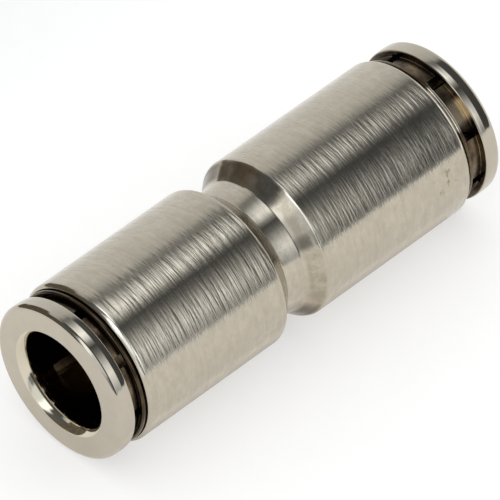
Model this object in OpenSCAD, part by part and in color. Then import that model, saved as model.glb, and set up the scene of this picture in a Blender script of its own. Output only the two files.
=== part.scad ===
// Straight push-to-connect union for two tubes of the same size.
// The origin is the middle of the body, +X runs along the tubes, and +Z is up.
// Lengths are in millimetres. Each end is drawn as the right-hand one, with x
// growing outward from the middle of the body, and the left end is its mirror image.

/* [Tube and ports] */
// Outside diameter of the tube that each end takes
tube_d = 8; // [7.9:0.05:8.05]
// Gap between the tube and its socket wall, on the radius
socket_gap = 0.1; // [0.07:0.01:0.12]
// Distance from the middle of the body to each tube stop
tube_stop_x = 2; // [1.8:0.1:3]
// Diameter of the flow passage between the two tube stops
passage_d = 6; // [4.5:0.1:6.5]

/* [Body] */
// Outside diameter of the body
body_d = 14; // [13.9:0.1:16]
// Length of the body between its two end faces
body_l = 35; // [34.8:0.1:35.1]
// Size of the chamfer round the outside of each end face
end_chamfer = 0.25; // [0.1:0.05:0.25]
// Size of the chamfer round the inside of each end face
mouth_chamfer = 0.15; // [0.05:0.05:0.15]

/* [Waist groove] */
// Diameter of the neck in the waist groove
waist_d = 11.5; // [10.5:0.1:12.5]
// Place of the groove's left edge along the body
waist_left_x = -2.9; // [-3.2:0.1:-2.5]
// Place of the groove's right edge along the body
waist_right_x = 1.75; // [1.5:0.05:2.5]
// Length of each sloping flank of the groove
waist_flank_l = 1.4; // [1:0.1:1.8]
// Radius of the rounding on the groove's left edge
waist_left_round = 0.4; // [0.2:0.1:0.6]

/* [Seal pocket and chamber] */
// Place of the seal pocket's inner wall
pocket_x = 7.55; // [7.3:0.05:7.7]
// Place of the shoulder between the seal pocket and the finger chamber
chamber_x = 9.75; // [9.6:0.05:9.75]
// Diameter of the seal pocket
pocket_d = 11.24; // [11.22:0.02:11.6]
// Diameter of the chamber that the ends of the collet fingers move in
chamber_d = 12.5; // [12.4:0.05:12.6]
// Diameter of the seat that the cone ring is pressed into
ring_seat_d = 13.1; // [12.9:0.05:13.1]
// Length of the lead-in chamfers in the bores
bore_chamfer = 0.3; // [0.1:0.05:0.4]

/* [Tube seal] */
// Diameter of the seal's round section
seal_section_d = 1.75; // [1.5:0.05:1.75]

/* [Seal spacer] */
// Thickness of the spacer
spacer_t = 1; // [0.8:0.05:1]
// Diameter of the hole in the spacer
spacer_hole_d = 8.4; // [8.3:0.05:9]

/* [Cone ring] */
// Place of the cone ring's inner end
ring_x = 12.6; // [12.5:0.05:12.7]
// Distance that the ring's lip stands out from the body's end face
lip_l = 0.5; // [0.4:0.05:0.5]
// Diameter of the bead round the lip
bead_d = 13.4; // [13.3:0.05:13.5]
// Thickness of the bead
bead_t = 0.35; // [0.2:0.05:0.35]
// Diameter of the ring's throat, where its two cones meet
ring_throat_d = 10.8; // [10.7:0.05:10.9]
// Place of the throat's inner edge, where the gripping cone begins
ring_throat_x = 14.2; // [14.1:0.05:14.3]

/* [Collet] */
// Place of the flange's front face with the collet pulled fully out
flange_front_x = 20.9; // [20.85:0.05:21.2]
// Diameter of the flange
flange_d = 13.7; // [13.5:0.1:14]
// Thickness of the flange
flange_t = 1.55; // [1.5:0.05:1.6]
// Radius of the round at the flange's front edge
front_round = 0.55; // [0.2:0.05:0.6]
// Radius of the round at the flange's back edge
back_round = 0.2; // [0.1:0.05:0.3]
// Diameter of the rounded tube entry at the flange's front face
entry_d = 9.4; // [9.1:0.1:10]
// Depth of the rounded tube entry
entry_depth = 1.05; // [0.6:0.05:1.1]
// Diameter of the throat that guides the tube through the flange
throat_d = 8.3; // [8.2:0.05:8.6]
// Length of the throat
throat_l = 1.5; // [1:0.1:1.6]
// Diameter of the neck behind the flange
neck_d = 12.4; // [12.2:0.05:12.4]
// Outside diameter of the fingers at their thinnest place
finger_d = 10.4; // [10.3:0.05:10.5]
// Inside diameter of the fingers between the flange and the teeth
finger_bore_d = 9.2; // [9:0.1:9.4]
// Diameter across the tips of the gripping teeth
grip_d = 7.72; // [7.7:0.02:7.9]
// Number of slots that divide the sleeve into fingers
slot_count = 8; // [4:1:10]
// Width of each slot
slot_w = 0.95; // [0.6:0.05:1.2]
// Depth that the slots run on into the back of the flange
slot_run_on = 0.25; // [0.15:0.05:0.3]
// Diameter that the slots reach there
slot_reach_d = 12.8; // [12.7:0.1:13]
// Angle of the first slot of the left collet about the tube's axis
left_clocking = 2; // [0:1:45]
// Angle of the first slot of the right collet about the tube's axis
right_clocking = 14; // [0:1:45]

/* [Collet travel] */
// Distance that a collet slides, from fully out to pushed home
travel = 1.2; // [1:0.05:1.2]
// Distance that the left collet rests in from fully out
left_rest_in = 0.5; // [0:0.05:1]
// Distance that the right collet rests in from fully out
right_rest_in = 0; // [0:0.05:1]

/* [Hidden] */
$fn = 128;

nickel = [0.76, 0.74, 0.69];
ring_nickel = [0.66, 0.63, 0.57];
plain_brass = [0.80, 0.66, 0.36];
nitrile = [0.08, 0.08, 0.08];

body_r = body_d / 2;
body_end_x = body_l / 2;
waist_r = waist_d / 2;
passage_r = passage_d / 2;
socket_r = tube_d / 2 + socket_gap;
pocket_r = pocket_d / 2;
chamber_r = chamber_d / 2;
ring_seat_r = ring_seat_d / 2;

// The seal just clears the wall of its pocket and sits midway along it.
seal_gap = 0.02;
seal_section_r = seal_section_d / 2;
seal_centre_r = pocket_r - seal_gap - seal_section_r;
seal_centre_x = (pocket_x + chamber_x) / 2;

// The gripping cone widens by half a millimetre in radius for each millimetre inward.
grip_cone_slope = 0.5;
ring_throat_r = ring_throat_d / 2;
ring_front_x = body_end_x + lip_l;
bead_r = bead_d / 2;
bead_x = ring_front_x - bead_t;
bead_edge = 0.1;

// The neck clears the mouth of the ring by this much, on the radius.
cone_gap = 0.05;

flange_r = flange_d / 2;
flange_back_x = flange_front_x - flange_t;
entry_r = entry_d / 2;
throat_r = throat_d / 2;
throat_inner_x = flange_front_x - entry_depth - throat_l;
finger_r = finger_d / 2;
finger_bore_r = finger_bore_d / 2;
grip_r = grip_d / 2;

// The entry is an arc that meets the throat's wall smoothly.
entry_h = entry_r - throat_r;
entry_arc_r = (pow(entry_h, 2) + pow(entry_depth, 2)) / (2 * entry_h);
entry_angle = asin(entry_depth / entry_arc_r);

// The neck is straight behind the flange, then tapers to the thin part of the fingers.
neck_r = neck_d / 2;
neck_l = 1.4;
neck_taper_l = 2.3;
neck_taper_x = flange_back_x - neck_l;
finger_x = neck_taper_x - neck_taper_l;

// The finger heads follow the ring's gripping cone, a hair inside it when pulled out.
wedge_gap = 0.02;
head_cone_r = ring_throat_r - wedge_gap;
head_setback = 0.25;
head_l = 0.6;
head_chamfer = 0.2;
head_x = ring_x + head_setback;
head_r = head_cone_r + grip_cone_slope * (ring_throat_x - head_x);
head_back_x = head_x - head_l;
head_end_x = head_back_x - head_chamfer;

// Each tooth has a steep inner flank and a long outer one, so the tube slides in easily.
tooth_l = 0.55;
tooth_h = 0.35;
tooth_steep_l = 0.1;
throat_lead_l = 0.4;

// The slot cutters run clear of the fingers' ends and of the teeth by this much.
slot_clear = 1;
slot_start_x = head_end_x - slot_clear;
slot_end_x = flange_back_x + slot_run_on;
slot_inner_r = grip_r - slot_clear;
slot_outer_r = slot_reach_d / 2;

// The ring's mouth is shaped like the neck, and has narrowed to the throat at this place.
mouth_slope = (neck_r - finger_r) / (neck_taper_x - finger_x);
mouth_inner_x = finger_x - travel + (ring_throat_r - finger_r - cone_gap) / mouth_slope;

// Points of an arc about the centre c, as [radius, place] pairs.
function arc(c, r, from, to, steps = 6) =
    [for (i = [0 : steps]) let (a = from + (to - from) * i / steps) c + r * [cos(a), sin(a)]];

// The same outline on the left half of the body, in reverse order.
function mirrored(points) =
    [for (i = [len(points) - 1 : -1 : 0]) [points[i][0], -points[i][1]]];

// Turns an outline of [radius, place] pairs about the X axis.
module turned(points) {
    rotate([0, 90, 0])
        rotate_extrude()
            polygon(points);
}

module left_end() {
    mirror([1, 0, 0])
        children();
}

// Outline of the bores of one end, from the mouth to the flow passage.
bore_outline = [
    [ring_seat_r + mouth_chamfer, body_end_x],
    [ring_seat_r, body_end_x - mouth_chamfer],
    [ring_seat_r, ring_x],
    [chamber_r, ring_x],
    [chamber_r, chamber_x],
    [pocket_r, chamber_x],
    [pocket_r, pocket_x],
    [socket_r + bore_chamfer, pocket_x],
    [socket_r, pocket_x - bore_chamfer],
    [socket_r, tube_stop_x],
    [passage_r + bore_chamfer, tube_stop_x],
    [passage_r, tube_stop_x - bore_chamfer]
];

// Outline of the outside of the body, from the left end face to the right one.
outside_outline = concat(
    [[body_r - end_chamfer, -body_end_x]],
    [[body_r, end_chamfer - body_end_x]],
    arc([body_r - waist_left_round, waist_left_x - waist_left_round / 2],
        waist_left_round, 0, 48),
    [[waist_r, waist_left_x + waist_flank_l]],
    [[waist_r, waist_right_x - waist_flank_l]],
    [[body_r, waist_right_x]],
    [[body_r, body_end_x - end_chamfer]],
    [[body_r - end_chamfer, body_end_x]]
);

// One bar-turned piece with a socket at each end.
module body() {
    color(nickel)
        turned(concat(outside_outline, bore_outline, mirrored(bore_outline)));
}

// Ring pressed into the mouth. Its mouth takes in the collet's neck when that is pushed
// home, and its inner cone closes the fingers on a pulled tube.
module cone_ring() {
    color(ring_nickel)
        turned([
            [ring_seat_r, ring_x],
            [ring_seat_r, bead_x],
            [bead_r - bead_edge, bead_x],
            [bead_r, bead_x + bead_edge],
            [bead_r, ring_front_x - bead_edge],
            [bead_r - bead_edge, ring_front_x],
            [neck_r + cone_gap, ring_front_x],
            [neck_r + cone_gap, neck_taper_x - travel],
            [ring_throat_r, mouth_inner_x],
            [ring_throat_r, ring_throat_x],
            [ring_throat_r + grip_cone_slope * (ring_throat_x - ring_x), ring_x]
        ]);
}

// Release flange, neck, fingers and teeth, before the slots are cut.
module collet_blank() {
    turned(concat(
        arc([throat_r + entry_arc_r, flange_front_x - entry_depth], entry_arc_r,
            180, 180 - entry_angle),
        arc([flange_r - front_round, flange_front_x - front_round], front_round, 90, 0),
        arc([flange_r - back_round, flange_back_x + back_round], back_round, 0, -90),
        [
            [neck_r, flange_back_x],
            [neck_r, neck_taper_x],
            [finger_r, finger_x],
            [finger_r, ring_throat_x + (head_cone_r - finger_r) / grip_cone_slope],
            [head_r, head_x],
            [head_r, head_back_x],
            [head_r - head_chamfer, head_end_x],
            [grip_r + tooth_h, head_end_x],
            [grip_r, head_end_x + tooth_steep_l],
            [grip_r + tooth_h, head_end_x + tooth_l],
            [grip_r, head_end_x + tooth_l + tooth_steep_l],
            [grip_r + tooth_h, head_end_x + 2 * tooth_l],
            [finger_bore_r, head_end_x + 3 * tooth_l],
            [finger_bore_r, throat_inner_x - throat_lead_l],
            [throat_r, throat_inner_x]
        ]
    ));
}

// The slots run from the free ends of the fingers a little way into the flange.
module collet_slots(clocking) {
    for (i = [0 : slot_count - 1])
        rotate([clocking + i * 360 / slot_count, 0, 0])
            translate([slot_start_x, slot_inner_r, -slot_w / 2])
                cube([slot_end_x - slot_start_x, slot_outer_r - slot_inner_r, slot_w]);
}

module collet(clocking, rest_in) {
    color(nickel)
        translate([-rest_in, 0, 0])
            difference() {
                collet_blank();
                collet_slots(clocking);
            }
}

// Washer pressed against the shoulder, which keeps the fingers off the seal.
module seal_spacer() {
    color(plain_brass)
        turned([
            [spacer_hole_d / 2, chamber_x],
            [chamber_r, chamber_x],
            [chamber_r, chamber_x + spacer_t],
            [spacer_hole_d / 2 + bore_chamfer, chamber_x + spacer_t],
            [spacer_hole_d / 2, chamber_x + spacer_t - bore_chamfer]
        ]);
}

// Round-section ring that a tube squeezes against the pocket wall.
module tube_seal() {
    color(nitrile)
        rotate([0, 90, 0])
            rotate_extrude()
                translate([seal_centre_r, seal_centre_x])
                    circle(seal_section_r, $fn = 48);
}

module left_cone_ring() {
    left_end() cone_ring();
}

module right_cone_ring() {
    cone_ring();
}

module left_collet() {
    left_end() collet(left_clocking, left_rest_in);
}

module right_collet() {
    collet(right_clocking, right_rest_in);
}

module left_seal_spacer() {
    left_end() seal_spacer();
}

module right_seal_spacer() {
    seal_spacer();
}

module left_tube_seal() {
    left_end() tube_seal();
}

module right_tube_seal() {
    tube_seal();
}

body();
left_cone_ring();
left_collet();
left_seal_spacer();
left_tube_seal();
right_cone_ring();
right_collet();
right_seal_spacer();
right_tube_seal();
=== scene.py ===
import math

import bmesh
import bpy
from mathutils import Matrix, Vector


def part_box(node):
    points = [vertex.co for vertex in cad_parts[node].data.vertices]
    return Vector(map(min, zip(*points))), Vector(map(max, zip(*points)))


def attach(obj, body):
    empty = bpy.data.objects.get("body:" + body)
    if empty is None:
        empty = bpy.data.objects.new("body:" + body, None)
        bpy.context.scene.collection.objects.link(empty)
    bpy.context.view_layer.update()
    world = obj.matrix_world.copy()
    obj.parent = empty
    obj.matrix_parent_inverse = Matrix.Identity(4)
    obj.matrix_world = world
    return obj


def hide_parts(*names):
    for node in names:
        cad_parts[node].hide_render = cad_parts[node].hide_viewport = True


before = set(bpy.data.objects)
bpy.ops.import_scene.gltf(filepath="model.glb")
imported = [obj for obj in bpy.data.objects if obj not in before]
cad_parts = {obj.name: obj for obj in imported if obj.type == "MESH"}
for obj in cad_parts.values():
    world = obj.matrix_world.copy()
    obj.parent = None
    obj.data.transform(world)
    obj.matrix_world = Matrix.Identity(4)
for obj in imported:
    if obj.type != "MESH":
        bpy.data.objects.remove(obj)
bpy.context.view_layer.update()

MM = 0.001
AROUND = 224        # steps round a turned piece
BODY_AROUND = 288

# Planes and radii of the union, in millimetres, each end drawn as the right-hand one.
BODY_R = 7.0
BODY_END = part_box("body")[1].x / MM
TUBE_STOP = 2.0
PASSAGE_R = 3.0
SOCKET_R = 4.1
POCKET = 7.55
POCKET_R = 5.62
CHAMBER = 9.75
CHAMBER_R = 6.25
RING_X = 12.6
RING_SEAT_R = 6.55
RING_THROAT_X = 14.2
RING_THROAT_R = 5.4
RING_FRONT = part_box("right_cone_ring")[1].x / MM
BEAD_R = 6.7
BEAD_T = 0.35
CONE_SLOPE = 0.5    # of the cone that closes the fingers, radius over length
CONE_GAP = 0.05     # between the collet's neck and the ring's mouth
WEDGE_GAP = 0.02    # between the finger heads and the ring's cone
FLANGE_R = 6.85
FLANGE_T = 1.55
THROAT_R = 4.15
THROAT_L = 1.5
THROAT_LEAD = 0.4
ENTRY_R = 4.7
ENTRY_DEPTH = 1.05
NECK_R = 6.2
NECK_TAPER = 1.4
NECK_THIN = 3.7
TRAVEL = 1.2
FINGER_R = 5.2
FINGER_BORE_R = 4.6
GRIP_R = 3.86
TOOTH_L = 0.55
TOOTH_DEPTH = 0.35
TOOTH_STEEP_L = 0.1
HEAD_X = 12.85
HEAD_L = 0.6
HEAD_CHAMFER = 0.2
SLOTS = 8
SLOT_W = 0.95
SLOT_FROM = 9.5     # further in than the finger ends, so that the cut runs clear of them
SLOT_RUN_ON = 0.25  # into the flange's back, where the saw stops
SLOT_REACH_R = 6.4
FULLY_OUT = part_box("right_collet")[1].x / MM
LEFT_FRONT = -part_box("left_collet")[0].x / MM
LEFT_CLOCKING, RIGHT_CLOCKING = 2, 14


# ---------------------------------------------------------------- lathe work

def corner(before, at, after, radius, steps=5):
    """Points of a round of this radius in place of the corner at."""
    a, c, b = Vector(before), Vector(at), Vector(after)
    u, v = (a - c).normalized(), (b - c).normalized()
    angle = math.acos(max(-1.0, min(1.0, u.dot(v))))
    if radius <= 0 or angle > math.radians(176):
        return [tuple(c)]
    reach = radius / math.tan(angle / 2)
    reach = min(reach, 0.48 * (a - c).length, 0.48 * (b - c).length)
    radius = reach * math.tan(angle / 2)
    centre = c + (u + v).normalized() * (radius / math.sin(angle / 2))
    start, end = c + u * reach - centre, c + v * reach - centre
    sweep = math.pi - angle
    points = []
    for i in range(steps + 1):
        t = i / steps
        w0 = math.sin((1 - t) * sweep) / math.sin(sweep)
        w1 = math.sin(t * sweep) / math.sin(sweep)
        points.append(tuple(centre + start * w0 + end * w1))
    return points


def rounded(outline):
    """The outline with its corners rounded. Each point is (x, r) or (x, r, radius)."""
    n = len(outline)
    points = []
    for i, p in enumerate(outline):
        radius = p[2] if len(p) > 2 else 0.0
        points += corner(outline[i - 1][:2], p[:2], outline[(i + 1) % n][:2], radius)
    return supported(points)


def supported(points, gap=0.035):
    """Adds a point close to each end of every long straight, so that it shades flat."""
    out = []
    for i, p in enumerate(points):
        a, b = Vector(p), Vector(points[(i + 1) % len(points)])
        out.append(tuple(a))
        length = (b - a).length
        if length > 5 * gap:
            out.append(tuple(a.lerp(b, gap / length)))
            out.append(tuple(a.lerp(b, 1 - gap / length)))
    return out


def lathe_mesh(name, points, around=AROUND, mirror=False):
    """Turns the closed outline of (x, r) points about the X axis."""
    bm = bmesh.new()
    loops = []
    for x, r in points:
        x = (-x if mirror else x) * MM
        ring = []
        for i in range(around):
            t = 2 * math.pi * i / around
            ring.append(bm.verts.new((x, r * MM * math.cos(t), r * MM * math.sin(t))))
        loops.append(ring)
    for k, ring in enumerate(loops):
        after = loops[(k + 1) % len(loops)]
        for i in range(around):
            j = (i + 1) % around
            bm.faces.new((ring[i], ring[j], after[j], after[i]))
    bmesh.ops.recalc_face_normals(bm, faces=bm.faces)
    mesh = bpy.data.meshes.new(name)
    bm.to_mesh(mesh)
    bm.free()
    return mesh


def shade(mesh, angle=38):
    """Smooth shading, with edges sharper than this angle in degrees kept."""
    for polygon in mesh.polygons:
        polygon.use_smooth = True
    mesh.set_sharp_from_angle(angle=math.radians(angle))


def place(name, mesh, node, body, material):
    """Puts a piece in the scene in place of the CAD's node."""
    obj = bpy.data.objects.new(name, mesh)
    bpy.context.scene.collection.objects.link(obj)
    mesh.materials.clear()
    mesh.materials.append(material)
    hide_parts(node)
    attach(obj, body)
    return obj


# ---------------------------------------------------------------- the body

def feed_marks(x_from, x_to, pitch, depth, seed):
    """Points of a turned surface: shallow, uneven grooves below the body's radius."""
    points = []
    step = pitch / 4
    count = int(abs(x_to - x_from) / step)
    for i in range(1, count):
        x = x_from + (x_to - x_from) * i / count
        phase = 2 * math.pi * (x / pitch + 0.35 * math.sin(1.7 * x + seed))
        swell = 0.6 + 0.4 * math.sin(2.3 * x + 2.1 * seed)
        points.append((x, BODY_R - depth * swell * (0.5 + 0.5 * math.sin(phase))))
    return points


def outside():
    """Outline of the body's outside, from the left end face to the right one."""
    left_edge, right_edge, flank = -2.9, 1.75, 1.4
    waist_r, rise = 5.76, 0.055     # the waist rises a little towards the right
    end_r, end_bevel = 6.75, 0.25
    left = rounded_run([
        (-BODY_END, end_r, 0.05), (-BODY_END + end_bevel, BODY_R, 0.40)])
    groove = rounded_run([
        (left_edge, BODY_R, 0.55), (left_edge + flank, waist_r - rise, 0.30),
        (right_edge - flank, waist_r + rise, 0.35), (right_edge, BODY_R, 0.22)],
        before=(left_edge - 1, BODY_R), after=(right_edge + 1, BODY_R))
    right = rounded_run([
        (BODY_END - end_bevel, BODY_R, 0.40), (BODY_END, end_r, 0.05)],
        before=(BODY_END - 1, BODY_R), after=(BODY_END, 6.0))
    return (left + feed_marks(-17.0, -3.35, 0.5, 0.006, 0.4) + groove
            + feed_marks(1.95, 17.0, 0.42, 0.004, 1.3) + right)


def rounded_run(outline, before=None, after=None):
    """An open stretch of outline with its corners rounded."""
    before = before or (outline[0][0], outline[0][1] - 1)
    after = after or (outline[-1][0] + 1, outline[-1][1])
    run = [before] + list(outline) + [after]
    points = []
    for i in range(1, len(run) - 1):
        p = run[i]
        points += corner(run[i - 1][:2], p[:2], run[i + 1][:2], p[2], steps=6)
    return points


def inside():
    """Outline of the bores, from the right mouth to the left one."""
    bevel, mouth_bevel = 0.3, 0.15
    half = [
        (BODY_END, RING_SEAT_R + mouth_bevel), (BODY_END - mouth_bevel, RING_SEAT_R),
        (RING_X, RING_SEAT_R), (RING_X, CHAMBER_R), (CHAMBER, CHAMBER_R),
        (CHAMBER, POCKET_R), (POCKET, POCKET_R), (POCKET, SOCKET_R + bevel),
        (POCKET - bevel, SOCKET_R), (TUBE_STOP, SOCKET_R),
        (TUBE_STOP, PASSAGE_R + bevel), (TUBE_STOP - bevel, PASSAGE_R)]
    return half + [(-x, r) for x, r in reversed(half)]


def make_body():
    points = outside() + supported(inside())[:-2]
    mesh = lathe_mesh("body_turned", points, around=BODY_AROUND)
    shade(mesh, 30)
    return place("body_turned", mesh, "body", "body", body_nickel())


# ---------------------------------------------------------------- rings, spacers and seals

def ring_outline():
    """Section of the ring pressed into the mouth, which matches the collet pushed fully in."""
    home = FULLY_OUT - FLANGE_T - TRAVEL
    mouth_taper, finger = home - NECK_TAPER, home - NECK_THIN
    slope = (NECK_R - FINGER_R) / (mouth_taper - finger)
    mouth_inner = finger + (RING_THROAT_R - FINGER_R - CONE_GAP) / slope
    return rounded([
        (RING_X, RING_SEAT_R, 0.08),
        (RING_FRONT - BEAD_T, RING_SEAT_R, 0.03),
        (RING_FRONT - BEAD_T, BEAD_R, 0.16),
        (RING_FRONT, BEAD_R, 0.16),
        (RING_FRONT, NECK_R + CONE_GAP, 0.10),
        (mouth_taper, NECK_R + CONE_GAP, 0.3),
        (mouth_inner, RING_THROAT_R, 0.2),
        (RING_THROAT_X, RING_THROAT_R, 0.15),
        (RING_X, RING_THROAT_R + CONE_SLOPE * (RING_THROAT_X - RING_X), 0.05)])


def make_ring(side):
    mesh = lathe_mesh(side + "_ring_turned", ring_outline(), mirror=side == "left")
    shade(mesh)
    return place(side + "_ring_turned", mesh, side + "_cone_ring", "body",
                 materials["ring"])


def make_spacer(side):
    hole, thick, bevel = 4.2, 1.0, 0.3
    mesh = lathe_mesh(side + "_spacer_turned", rounded([
        (CHAMBER, hole, 0.05), (CHAMBER, CHAMBER_R, 0.06),
        (CHAMBER + thick, CHAMBER_R, 0.06), (CHAMBER + thick, hole + bevel, 0.05),
        (CHAMBER + thick - bevel, hole, 0.05)]), mirror=side == "left")
    shade(mesh)
    return place(side + "_spacer_turned", mesh, side + "_seal_spacer", "body",
                 materials["brass"])


def make_seal(side):
    """A rubber ring of round section, very slightly flattened at the bore and at the tube."""
    section_r, seat_gap, steps = 0.875, 0.02, 40
    flat_depth, flat_narrowness = 0.02, 9
    centre_x, centre_r = (POCKET + CHAMBER) / 2, POCKET_R - seat_gap - section_r
    points = []
    for i in range(steps):
        t = 2 * math.pi * i / steps
        r = section_r * (1 - flat_depth * max(0.0, 1 - abs(math.cos(t)) * flat_narrowness))
        points.append((centre_x + r * math.cos(t), centre_r + r * math.sin(t)))
    mesh = lathe_mesh(side + "_seal_moulded", points, mirror=side == "left")
    shade(mesh, 60)
    return place(side + "_seal_moulded", mesh, side + "_tube_seal", "body",
                 materials["rubber"])


# ---------------------------------------------------------------- collets

def entry_arc(front, steps=12):
    """The rounded tube entry, from the throat out to the front face."""
    h = ENTRY_R - THROAT_R
    arc_r = (h * h + ENTRY_DEPTH * ENTRY_DEPTH) / (2 * h)
    sweep = math.asin(ENTRY_DEPTH / arc_r)
    points = []
    for i in range(steps + 1):
        t = sweep * i / steps
        points.append((front - ENTRY_DEPTH + arc_r * math.sin(t),
                       THROAT_R + arc_r * (1 - math.cos(t))))
    return points


def collet_corners(front):
    """Corners of a collet's section, from the front face round the outside to the throat."""
    back = front - FLANGE_T
    taper, thin = back - NECK_TAPER, back - NECK_THIN
    head_r = RING_THROAT_R - WEDGE_GAP + CONE_SLOPE * (RING_THROAT_X - HEAD_X)
    head_x = HEAD_X - (FULLY_OUT - front)
    cone_x = head_x + (head_r - FINGER_R) / CONE_SLOPE
    end = head_x - HEAD_L - HEAD_CHAMFER
    throat = front - ENTRY_DEPTH
    rim = [
        (front, ENTRY_R, 0.06), (front, FLANGE_R - 0.010, 0.68),
        (front - 0.95, FLANGE_R, 1.2), (back + 0.24, FLANGE_R - 0.025, 0.4),
        (back, FLANGE_R - 0.055, 0.13)]
    fingers = [
        (back, NECK_R, 0.06), (taper, NECK_R, 0.5), (thin, FINGER_R, 0.6),
        (cone_x, FINGER_R, 0.4), (head_x, head_r, 0.08), (head_x - HEAD_L, head_r, 0.05),
        (end, head_r - HEAD_CHAMFER, 0.03)]
    teeth = [
        (end, GRIP_R + TOOTH_DEPTH, 0.0), (end + TOOTH_STEEP_L, GRIP_R, 0.0),
        (end + TOOTH_L, GRIP_R + TOOTH_DEPTH, 0.04),
        (end + TOOTH_L + TOOTH_STEEP_L, GRIP_R, 0.0),
        (end + 2 * TOOTH_L, GRIP_R + TOOTH_DEPTH, 0.04)]
    bore = [
        (end + 3 * TOOTH_L, FINGER_BORE_R, 0.1),
        (throat - THROAT_L - THROAT_LEAD, FINGER_BORE_R, 0.1),
        (throat - THROAT_L, THROAT_R, 0.1), (throat, THROAT_R, 0.0)]
    return rim + fingers + teeth + bore


def collet_outline(front):
    """A collet's whole section, with rounded corners and the curved tube entry."""
    corners = collet_corners(front)
    points = []
    for i in range(1, len(corners) - 1):
        p = corners[i]
        points += corner(corners[i - 1][:2], p[:2], corners[i + 1][:2], p[2],
                         steps=8 if p[2] > 0.15 else 4)
    entry = entry_arc(front)
    lip = corner(entry[-2], entry[-1], (front, FLANGE_R), 0.06, steps=4)
    return supported(points + entry[:-1] + lip)


def slot_cutter(front, clocking, mirror):
    """All the slots as one mesh of boxes."""
    bm = bmesh.new()
    low, high = SLOT_FROM, front - FLANGE_T + SLOT_RUN_ON
    inner, outer = GRIP_R - 1.0, SLOT_REACH_R
    half = SLOT_W / 2
    for k in range(SLOTS):
        turn = Matrix.Rotation(math.radians(clocking + 360 * k / SLOTS), 4, "X")
        corners = []
        for x in (low, high):
            for r in (inner, outer):
                for w in (-half, half):
                    v = turn @ Vector((x, r, w))
                    v.x = -v.x if mirror else v.x
                    corners.append(bm.verts.new(v * MM))
        for quad in ((0, 1, 3, 2), (4, 6, 7, 5), (0, 4, 5, 1),
                     (2, 3, 7, 6), (0, 2, 6, 4), (1, 5, 7, 3)):
            bm.faces.new([corners[i] for i in quad])
    bmesh.ops.recalc_face_normals(bm, faces=bm.faces)
    mesh = bpy.data.meshes.new("slot_cutter")
    bm.to_mesh(mesh)
    bm.free()
    obj = bpy.data.objects.new("slot_cutter", mesh)
    bpy.context.scene.collection.objects.link(obj)
    return obj


def cut(mesh, cutter):
    """The mesh with the cutter taken away from it."""
    blank = bpy.data.objects.new("blank", mesh)
    bpy.context.scene.collection.objects.link(blank)
    modifier = blank.modifiers.new("slots", "BOOLEAN")
    modifier.operation = "DIFFERENCE"
    modifier.solver = "EXACT"
    modifier.object = cutter
    depsgraph = bpy.context.evaluated_depsgraph_get()
    result = bpy.data.meshes.new_from_object(blank.evaluated_get(depsgraph))
    bpy.data.objects.remove(blank)
    bpy.data.objects.remove(cutter)
    return result


def make_collet(side, front, clocking):
    name = side + "_collet_turned"
    mirror = side == "left"
    blank = lathe_mesh(name + "_blank", collet_outline(front), mirror=mirror)
    mesh = cut(blank, slot_cutter(front, clocking, mirror))
    mesh.name = name
    shade(mesh, 32)
    return place(name, mesh, side + "_collet", side + "_collet",
                 materials["collet"])


# ---------------------------------------------------------------- materials

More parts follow.
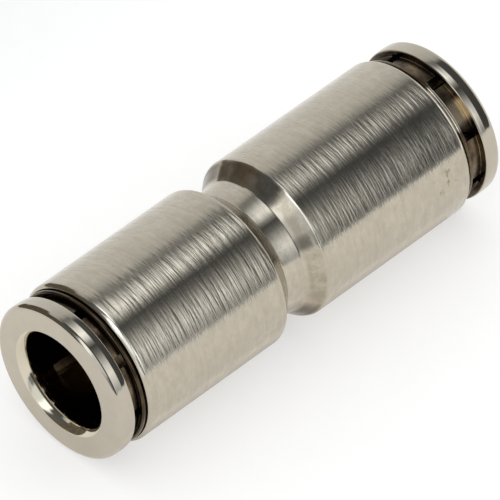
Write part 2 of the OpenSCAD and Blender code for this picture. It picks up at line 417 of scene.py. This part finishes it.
class Nodes:
    """Short calls for building a material's node tree."""

    def __init__(self, name):
        self.material = bpy.data.materials.new(name)
        self.material.use_nodes = True
        self.tree = self.material.node_tree
        self.shader = self.tree.nodes["Principled BSDF"]

    def add(self, kind, **values):
        node = self.tree.nodes.new(kind)
        for key, value in values.items():
            setattr(node, key, value)
        return node

    def link(self, out, into):
        self.tree.links.new(out, into)

    def put(self, into, value):
        if isinstance(value, (int, float, tuple)):
            into.default_value = value
        else:
            self.link(value, into)

    def give(self, name, value):
        """Sets one of the shader's inputs to a number, a colour or another node's output."""
        self.put(self.shader.inputs[name], value)

    def math(self, operation, a, b=0.0):
        node = self.add("ShaderNodeMath", operation=operation)
        self.put(node.inputs[0], a)
        self.put(node.inputs[1], b)
        return node.outputs[0]

    def product(self, first, *others):
        for other in others:
            first = self.math("MULTIPLY", first, other)
        return first

    def place_mm(self):
        """Object coordinates in millimetres, as a vector and its three parts."""
        source = self.add("ShaderNodeTexCoord").outputs["Object"]
        scaled = self.add("ShaderNodeVectorMath", operation="SCALE")
        self.link(source, scaled.inputs[0])
        scaled.inputs["Scale"].default_value = 1 / MM
        parts = self.add("ShaderNodeSeparateXYZ")
        self.link(scaled.outputs[0], parts.inputs[0])
        return scaled.outputs[0], parts.outputs

    def noise(self, vector, scale, detail=2.0, roughness=0.5):
        node = self.add("ShaderNodeTexNoise")
        self.link(vector, node.inputs["Vector"])
        node.inputs["Scale"].default_value = scale
        node.inputs["Detail"].default_value = detail
        node.inputs["Roughness"].default_value = roughness
        return node.outputs["Fac"]

    def marks(self, vector, scales, detail=2.0, roughness=0.6):
        """Noise with its own scale along each axis: small across a mark, smaller along it."""
        stretched = self.add("ShaderNodeVectorMath", operation="MULTIPLY")
        self.link(vector, stretched.inputs[0])
        stretched.inputs[1].default_value = scales
        return self.noise(stretched.outputs[0], 1.0, detail, roughness)

    def rings(self, parts, scale):
        """Noise that changes with the radius only, as the marks of facing do."""
        vector = self.add("ShaderNodeCombineXYZ")
        self.link(self.radius(parts), vector.inputs[0])
        return self.marks(vector.outputs[0], (scale, 1.0, 1.0), 3.0)

    def ramp(self, value, stops):
        """Blends between stops given as (position, grey level or colour)."""
        node = self.add("ShaderNodeValToRGB")
        elements = node.color_ramp.elements
        while len(elements) > 1:
            elements.remove(elements[-1])
        for i, (position, level) in enumerate(stops):
            element = elements[0] if i == 0 else elements.new(position)
            element.position = position
            color = level if isinstance(level, tuple) else (level,) * 3
            element.color = (*color, 1.0)
        self.link(value, node.inputs[0])
        return node.outputs[0]

    def span(self, value, low, high, to_low=0.0, to_high=1.0):
        """A smooth step from to_low at low to to_high at high; low may be the greater."""
        node = self.add("ShaderNodeMapRange", interpolation_type="SMOOTHSTEP")
        self.link(value, node.inputs["Value"])
        for key, number in (("From Min", low), ("From Max", high),
                            ("To Min", to_low), ("To Max", to_high)):
            node.inputs[key].default_value = number
        return node.outputs["Result"]

    def mix(self, factor, a, b):
        """Colour a where the factor is 0 and colour b where it is 1."""
        color_a, color_b, color_out = 6, 7, 2
        node = self.add("ShaderNodeMix", data_type="RGBA")
        self.put(node.inputs["Factor"], factor)
        self.put(node.inputs[color_a], (*a, 1.0) if isinstance(a, tuple) else a)
        self.put(node.inputs[color_b], (*b, 1.0) if isinstance(b, tuple) else b)
        return node.outputs[color_out]

    def bump(self, height, distance, normal=None):
        """A bump of this many millimetres on top of the normal."""
        node = self.add("ShaderNodeBump")
        node.inputs["Distance"].default_value = distance * MM
        self.link(height, node.inputs["Height"])
        if normal is not None:
            self.link(normal, node.inputs["Normal"])
        return node.outputs["Normal"]

    def radius(self, parts):
        squares = self.math("ADD", self.math("POWER", parts[1], 2.0),
                            self.math("POWER", parts[2], 2.0))
        return self.math("SQRT", squares)

    def angle(self, parts):
        """Angle about the axis from +Y towards +Z, in half turns."""
        return self.math("DIVIDE", self.math("ARCTAN2", parts[2], parts[1]), math.pi)

    def within(self, value, low, high, blur):
        """1 between low and high, falling to 0 over blur on each side."""
        return self.product(self.span(value, low - blur, low),
                            self.span(value, high + blur, high))

    def turned_gloss(self):
        """Stretches the gloss along the axis, as marks that run round a turned piece do."""
        self.give("Anisotropic", 0.85)
        tangent = self.add("ShaderNodeTangent", direction_type="RADIAL", axis="X")
        self.link(tangent.outputs[0], self.shader.inputs["Tangent"])
        self.shader.inputs["Anisotropic Rotation"].default_value = 0.25


def body_bump(m, place_mm, parts, outer, fine, mottle):
    """Turning marks: long and coarse on the left half, shorter on the right one."""
    coarse = m.marks(place_mm, (2.0, 0.14, 0.14), roughness=0.5)
    short = m.marks(place_mm, (5.2, 0.55, 0.55))
    hair = m.marks(place_mm, (11.0, 0.7, 0.7))
    normal = m.bump(m.product(hair, outer), 0.007)
    normal = m.bump(m.product(short, right_half(m, parts), outer), 0.016, normal)
    weaker = m.span(parts[0], 1.0, -1.0, 0.70, 1.0)
    normal = m.bump(m.product(fine, outer, weaker), 0.032, normal)
    normal = m.bump(m.product(coarse, m.span(parts[0], 1.0, -1.0), outer), 0.042, normal)
    return m.bump(m.product(mottle, outer), 0.010, normal)


def right_half(m, parts):
    return m.span(parts[0], -1.0, 1.0)


def blotchy_painted_shade(m, place_mm, parts, outer):
    """Painted shade: dim blotches on the right half, on the front of the top, where the body
    mirrors a dark band.
    """
    blotch = m.marks(place_mm, (0.45, 0.35, 0.35), 4.0, 0.7)
    zone = m.product(m.within(m.angle(parts), 0.67, 0.80, 0.05),
                     m.span(parts[0], 3.0, 13.0, 0.25, 1.0), right_half(m, parts), outer)
    return m.product(zone, m.span(blotch, 0.36, 0.60, 0.15, 0.95))


def specks(m, place_mm, parts):
    """A few small dull spots on the near side, close to the right end."""
    spots = m.marks(place_mm, (1.7, 1.3, 1.3), 3.0)
    zone = m.product(m.span(parts[0], 13.2, 14.2), m.span(parts[0], 16.4, 15.6),
                     m.span(parts[2], 0.6, 1.1), m.span(parts[2], 3.0, 2.4),
                     m.span(parts[1], -5.5, -6.0))
    return m.product(m.span(spots, 0.52, 0.64), zone, 0.6)


def painted_edge_highlights(m, parts, radius):
    """Painted highlights on the rounded edges, at the groove and at both ends, over the front of
    the top.
    """
    edges = m.math("ADD", m.within(parts[0], 1.66, 1.76, 0.03),
                   m.within(m.math("ABSOLUTE", parts[0]), 17.12, 17.40, 0.05))
    return m.product(edges, m.within(m.angle(parts), 0.56, 0.82, 0.04),
                     m.span(radius, 6.80, 6.90))


def flank_stains_and_shade(m, place_mm, parts, radius, cloud, tone):
    """Smudges all over the groove's right flank, and darker patches of painted shade at the back
    and below.
    """
    flank = m.product(m.within(parts[0], 0.75, 1.50, 0.35), m.span(radius, 6.97, 6.80))
    smudge = m.marks(place_mm, (0.8, 1.0, 1.0), 3.0)
    tone = m.mix(m.product(flank, m.span(smudge, 0.35, 0.60, 0.15, 0.85)), tone,
                 (0.345, 0.300, 0.225))
    sides = m.math("ADD", m.within(m.angle(parts), -0.78, -0.45, 0.14),
                   m.within(m.angle(parts), 0.05, 0.20, 0.10))
    # painted shade: darker patches at the back and below
    painted_shade_patches = m.product(sides, flank, m.span(cloud, 0.2, 0.6, 0.65, 0.95))
    return m.mix(painted_shade_patches, tone, (0.105, 0.080, 0.055))


def painted_bore_shade(m, parts, radius):
    """Where shade is painted: everything inside the body, away from the waist groove."""
    groove_middle = -0.57
    reach = m.math("ABSOLUTE", m.math("SUBTRACT", parts[0], groove_middle))
    return m.product(m.span(radius, 6.72, 6.5), m.span(reach, 3.2, 3.6))


def body_nickel():
    m = Nodes("body_nickel")
    place_mm, parts = m.place_mm()
    radius = m.radius(parts)
    outer = m.span(radius, 6.6, 6.9)
    fine = m.marks(place_mm, (3.3, 0.26, 0.26))
    mottle = m.marks(place_mm, (1.6, 1.1, 1.1), 4.0, 0.7)
    cloud = m.noise(place_mm, 0.35, 3.0, 0.6)
    worn = specks(m, place_mm, parts)
    tone = m.mix(m.span(cloud, 0.35, 0.7), (0.530, 0.478, 0.388), (0.495, 0.444, 0.358))
    tone = m.mix(m.product(m.span(mottle, 0.35, 0.65), 0.9), tone, (0.465, 0.418, 0.335))
    tone = m.mix(m.product(m.span(fine, 0.55, 0.30), 0.16), tone, (0.34, 0.30, 0.23))
    # painted shade: dim blotches on the right half
    tone = m.mix(blotchy_painted_shade(m, place_mm, parts, outer), tone, (0.330, 0.300, 0.245))
    tone = m.mix(worn, tone, (0.20, 0.16, 0.09))
    # painted highlights on the rounded edges
    tone = m.mix(painted_edge_highlights(m, parts, radius), tone, (0.86, 0.80, 0.68))
    # stains on the groove's flank, with painted shade at the back and below
    tone = flank_stains_and_shade(m, place_mm, parts, radius, cloud, tone)
    # painted shade inside the bores
    tone = m.mix(painted_bore_shade(m, parts, radius), tone, (0.20, 0.15, 0.09))
    m.give("Base Color", tone)
    m.give("Normal", body_bump(m, place_mm, parts, outer, fine, mottle))
    m.give("Roughness", m.math("ADD", m.span(mottle, 0.3, 0.7, 0.14, 0.19),
                               m.product(worn, 0.25)))
    m.give("Metallic", 1.0)
    m.turned_gloss()
    return m.material


def neck_stain_and_shade(m, place_mm, parts, right):
    """Brown stain behind the flange, darkened further with painted shade, with one painted golden
    highlight on the right neck.
    """
    patch = m.marks(place_mm, (0.9, 0.6, 0.6), 3.0)
    stain_and_shade = m.ramp(patch, [(0.36, (0.040, 0.027, 0.017)), (0.52, (0.115, 0.084, 0.055)),
                           (0.66, (0.200, 0.152, 0.095))])
    # painted golden highlight at one angle on the right neck
    painted_golden_highlight = m.product(m.within(m.angle(parts), 0.70, 0.755, 0.04), right)
    return m.mix(painted_golden_highlight, stain_and_shade, (0.66, 0.53, 0.35))


def collet_nickel():
    m = Nodes("collet_nickel")
    place_mm, parts = m.place_mm()
    radius = m.radius(parts)
    reach = m.math("ABSOLUTE", parts[0])
    right = right_half(m, parts)
    throat = LEFT_FRONT - ENTRY_DEPTH
    behind = m.product(m.span(radius, 6.80, 6.68), m.span(reach, throat + 0.07, throat + 0.01))
    bore = m.product(m.span(radius, 4.95, 4.80), m.span(reach, throat + 0.10, throat - 0.15))
    entry = m.product(m.span(radius, 4.74, 4.68), m.span(reach, throat - 0.05, throat + 0.07))
    cloud = m.noise(place_mm, 0.5, 3.0, 0.6)
    tone = m.mix(m.span(cloud, 0.35, 0.7), (0.50, 0.452, 0.37), (0.478, 0.428, 0.345))
    # stain and painted shade behind the flange
    tone = m.mix(behind, tone, neck_stain_and_shade(m, place_mm, parts, right))
    # painted shade darkens the bore
    tone = m.mix(bore, tone, m.mix(right, (0.075, 0.053, 0.032), (0.15, 0.115, 0.080)))
    # painted highlight brightens the tube entry
    tone = m.mix(entry, tone, (0.64, 0.58, 0.46))
    rim_marks = m.marks(place_mm, (6.0, 0.1, 0.1), roughness=0.5)
    m.give("Base Color", tone)
    m.give("Normal", m.bump(rim_marks, 0.0012, m.bump(m.rings(parts, 2.2), 0.004)))
    m.give("Roughness", m.math("ADD", m.span(cloud, 0.3, 0.7, 0.07, 0.11),
                               m.product(behind, 0.14)))
    m.give("Metallic", m.math("SUBTRACT", 1.0, m.product(bore, right, 0.60)))
    return m.material


def ring_nickel():
    """Stained brown with painted shade, darker on the left, with one painted highlight as a bright
    stretch on the right.
    """
    m = Nodes("ring_nickel")
    place_mm, parts = m.place_mm()
    marks = m.marks(place_mm, (7.0, 0.2, 0.2), roughness=0.5)
    cloud = m.noise(place_mm, 0.8, 3.0, 0.6)
    # painted highlight: a bright stretch at one angle on the right
    painted_bright_line = m.product(m.within(m.angle(parts), 0.60, 0.775, 0.025), m.span(parts[0], 0.0, 1.0))
    stain_and_shade = m.mix(m.span(cloud, 0.3, 0.7), (0.17, 0.125, 0.075), (0.085, 0.060, 0.036))
    # painted shade, darker on the left
    stain_and_shade = m.mix(m.span(parts[0], 1.0, -1.0, 0.0, 0.5), stain_and_shade, (0.020, 0.014, 0.009))
    m.give("Base Color", m.mix(painted_bright_line, stain_and_shade, (0.80, 0.74, 0.62)))
    m.give("Normal", m.bump(marks, 0.003))
    m.give("Roughness", m.span(marks, 0.3, 0.7, 0.12, 0.22))
    m.give("Metallic", 1.0)
    return m.material


def plain_brass():
    m = Nodes("plain_brass")
    place_mm, parts = m.place_mm()
    marks = m.rings(parts, 5.0)
    cloud = m.noise(place_mm, 0.7, 3.0, 0.6)
    m.give("Base Color", m.mix(m.span(cloud, 0.3, 0.7), (0.66, 0.44, 0.14), (0.50, 0.31, 0.09)))
    m.give("Normal", m.bump(marks, 0.006))
    m.give("Roughness", m.span(marks, 0.3, 0.7, 0.22, 0.34))
    m.give("Metallic", 1.0)
    return m.material


def nitrile_rubber():
    m = Nodes("nitrile_rubber")
    place_mm = m.place_mm()[0]
    grain = m.noise(place_mm, 9.0, 4.0, 0.6)
    dust = m.noise(place_mm, 1.6, 3.0, 0.6)
    m.give("Base Color", m.mix(m.span(dust, 0.45, 0.75), (0.012, 0.012, 0.013),
                               (0.035, 0.034, 0.032)))
    m.give("Normal", m.bump(grain, 0.004))
    m.give("Roughness", m.span(grain, 0.3, 0.7, 0.38, 0.52))
    return m.material


# ---------------------------------------------------------------- studio

def floor_material():
    """Pale card, brought almost to white by its own glow as well as the light, its glow a little
    weaker towards the back.
    """
    m = Nodes("pale_floor")
    place_mm, parts = m.place_mm()
    fibre = m.noise(place_mm, 0.4, 3.0, 0.6)
    far = m.span(parts[1], 18.0, 46.0)
    m.give("Base Color", m.mix(m.span(fibre, 0.3, 0.7), (0.555, 0.555, 0.555),
                               (0.565, 0.565, 0.565)))
    m.give("Roughness", 1.0)
    m.give("Specular IOR Level", 0.0)
    # the floor's own glow, weaker towards the back
    m.give("Emission Color", m.mix(far, (1.0, 1.0, 1.0), (0.77, 0.79, 0.80)))
    m.give("Emission Strength", 0.50)
    return m.material


def tent_material():
    """A tent of cloth lit in soft bands.

    Pale low down at the back, a bright box overhead, another low at the front and dark gaps
    between them. Beyond each end of the fitting the boxes give way to the gap alone, and far
    past the left end one box is seen again, by the flank and the rim.
    """
    m = Nodes("light_tent")
    parts = m.place_mm()[1]
    share = m.angle(parts)
    top = 1.9
    boxes = m.ramp(share, band_stops([
        (0, 0.95), (30, 0.91), (51, 0.74), (57, 0.55), (61, 0.28), (66, 0.34), (71, 0.52),
        (81, 1.30), (91, 1.90), (98, 1.30), (104, 0.50), (111, 0.08), (121, 0.27),
        (131, 0.70), (141, 1.20), (151, 1.50), (161, 1.15), (171, 0.78), (176.5, 0.66),
        (177.5, 1.0)], top))
    gap = m.ramp(share, band_stops([
        (0, 0.95), (30, 0.91), (51, 0.74), (59, 0.55), (63, 0.30), (67, 0.10),
        (176.5, 0.08), (177.5, 1.0)], top))
    near_end = m.ramp(share, band_stops([
        (0, 0.14), (88, 0.12), (94, 1.7), (113, 1.7), (122, 1.05), (150, 1.0),
        (158, 0.3), (173, 0.3), (177.5, 1.0)], top))
    far_end = m.ramp(share, band_stops([
        (0, 0.16), (74, 0.14), (82, 0.90), (92, 1.85), (108, 1.85), (120, 1.05),
        (151, 1.0), (160, 0.70), (173, 0.70), (177.5, 1.0)], top))
    level = m.mix(m.span(parts[0], 119.0, 147.0), boxes, gap)
    level = m.mix(m.span(parts[0], 0.0, -35.0), level, gap)
    level = m.mix(m.span(parts[0], -100.0, -125.0), level, near_end)
    level = m.mix(m.span(parts[0], -235.0, -265.0), level, far_end)
    cool = m.mix(m.span(share, 0.30, 0.37), (0.98, 1.0, 1.02), (0.97, 1.02, 1.08))
    tinted = m.add("ShaderNodeVectorMath", operation="MULTIPLY")
    m.link(level, tinted.inputs[0])
    m.link(cool, tinted.inputs[1])
    emission = m.add("ShaderNodeEmission")
    m.link(tinted.outputs[0], emission.inputs["Color"])
    emission.inputs["Strength"].default_value = top
    output = m.tree.nodes["Material Output"]
    m.link(emission.outputs[0], output.inputs["Surface"])
    m.tree.nodes.remove(m.shader)
    return m.material


def band_stops(bands, top):
    """Ramp stops for bands given as (degrees round the tent, brightness)."""
    return [(degrees / 180, level / top) for degrees, level in bands]


def only_in_reflections(obj):
    obj.visible_camera = False
    obj.visible_diffuse = False
    obj.visible_transmission = False
    obj.visible_shadow = False


def set_up(name, mesh, material):
    """Puts a piece of the studio in the scene."""
    mesh.materials.append(material)
    obj = bpy.data.objects.new(name, mesh)
    bpy.context.scene.collection.objects.link(obj)
    return obj


def sheet(name, corners):
    """A mesh of one flat face."""
    mesh = bpy.data.meshes.new(name)
    mesh.from_pydata(corners, [], [tuple(range(len(corners)))])
    return mesh


def lit_sheet(name):
    """Material for a card that only glows, with its node helper and place."""
    m = Nodes(name)
    m.give("Base Color", (0.0, 0.0, 0.0, 1.0))
    m.give("Specular IOR Level", 0.0)
    return m, *m.place_mm()


def make_tent():
    """Half a tunnel over the object, along the tubes."""
    radius, low, high, steps = 0.25, -1.00, 0.41, 96
    verts, faces = [], []
    for x in (low, high):
        for i in range(steps + 1):
            t = math.pi * i / steps
            verts.append((x, radius * math.cos(t), radius * math.sin(t)))
    for i in range(steps):
        faces.append((i, i + 1, i + steps + 2, i + steps + 1))
    mesh = bpy.data.meshes.new("light_tent")
    mesh.from_pydata(verts, [], faces)
    tent = set_up("light_tent", mesh, tent_material())
    only_in_reflections(tent)


def make_flag():
    """A dark, soft-edged card behind, past the left end, which the groove's right flank mirrors."""
    left, right, y, bottom, top = -0.30, 0.006, 0.060, -0.0069, 0.062
    m, place_mm, parts = lit_sheet("dark_flag")
    cloth = m.noise(place_mm, 0.12, 2.0, 0.5)
    m.give("Emission Color", m.mix(m.span(cloth, 0.35, 0.65), (0.19, 0.165, 0.135),
                                   (0.115, 0.098, 0.080)))
    m.give("Emission Strength", 1.0)
    from_edge = m.math("ADD", parts[0], m.span(parts[2], 0.0, 6.0, 0.0, 8.0))
    m.give("Alpha", m.product(m.span(from_edge, 5.0, 1.0), m.span(parts[2], 62.0, 52.0)))
    mesh = sheet("dark_flag", [(left, y, bottom), (right, y, bottom),
                               (right, y, top), (left, y, top)])
    flag = set_up("dark_flag", mesh, m.material)
    only_in_reflections(flag)


def make_contact_shade():
    """The dim strip of floor that the fitting's underside mirrors."""
    x, y, z = 0.018, 0.008, -0.00699
    m, place_mm, parts = lit_sheet("contact_shade")
    level = m.span(m.math("ABSOLUTE", parts[1]), 4.6, 7.8, 0.60, 0.97)
    grain = m.span(m.noise(place_mm, 0.5, 2.0, 0.5), 0.3, 0.7, 0.97, 1.03)
    m.give("Emission Strength", m.product(level, grain))
    m.give("Emission Color", (1.0, 0.97, 0.92, 1.0))
    mesh = sheet("contact_shade", [(-x, -y, z), (x, -y, z), (x, y, z), (-x, y, z)])
    shade_card = set_up("contact_shade", mesh, m.material)
    only_in_reflections(shade_card)


def make_floor():
    size, level = 3.0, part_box("body")[0].z
    mesh = sheet("pale_floor", [(-size, -size, level), (size, -size, level),
                                (size, size, level), (-size, size, level)])
    floor = set_up("pale_floor", mesh, floor_material())


def make_world():
    world = bpy.data.worlds.new("studio")
    world.use_nodes = True
    background = world.node_tree.nodes["Background"]
    background.inputs["Color"].default_value = (1.0, 1.0, 1.0, 1.0)
    background.inputs["Strength"].default_value = 1.0
    scene = bpy.context.scene
    scene.world = world
    scene.view_settings.view_transform = "Standard"
    scene.view_settings.look = "None"


def make_camera():
    """A long lens, far off, which looks down on the left end and the front."""
    sideways, downwards, distance = 0.00655, 0.00827, 84.096    # in body radii
    right = Vector((0.7100312, -0.7041702, 0.0)).normalized()
    back = Vector((-0.4936383, -0.4977400, 0.7131800))
    back = (back - right * back.dot(right)).normalized()
    up = back.cross(right)
    data = bpy.data.cameras.new("camera")
    data.sensor_width = 36
    data.lens = 548.35
    data.clip_start = 0.01
    camera = bpy.data.objects.new("camera", data)
    bpy.context.scene.collection.objects.link(camera)
    at = (right * sideways - up * downwards + back * distance) * BODY_R * MM
    turn = Matrix((right, up, back)).transposed().to_4x4()
    camera.matrix_world = Matrix.Translation(at) @ turn
    bpy.context.scene.camera = camera


make_world()
make_camera()
make_floor()
make_tent()
make_flag()
make_contact_shade()
materials = {"collet": collet_nickel(), "ring": ring_nickel(),
             "brass": plain_brass(), "rubber": nitrile_rubber()}
make_body()
for side in ("left", "right"):
    make_ring(side)
    make_spacer(side)
    make_seal(side)
make_collet("left", LEFT_FRONT, LEFT_CLOCKING)
make_collet("right", FULLY_OUT, RIGHT_CLOCKING)
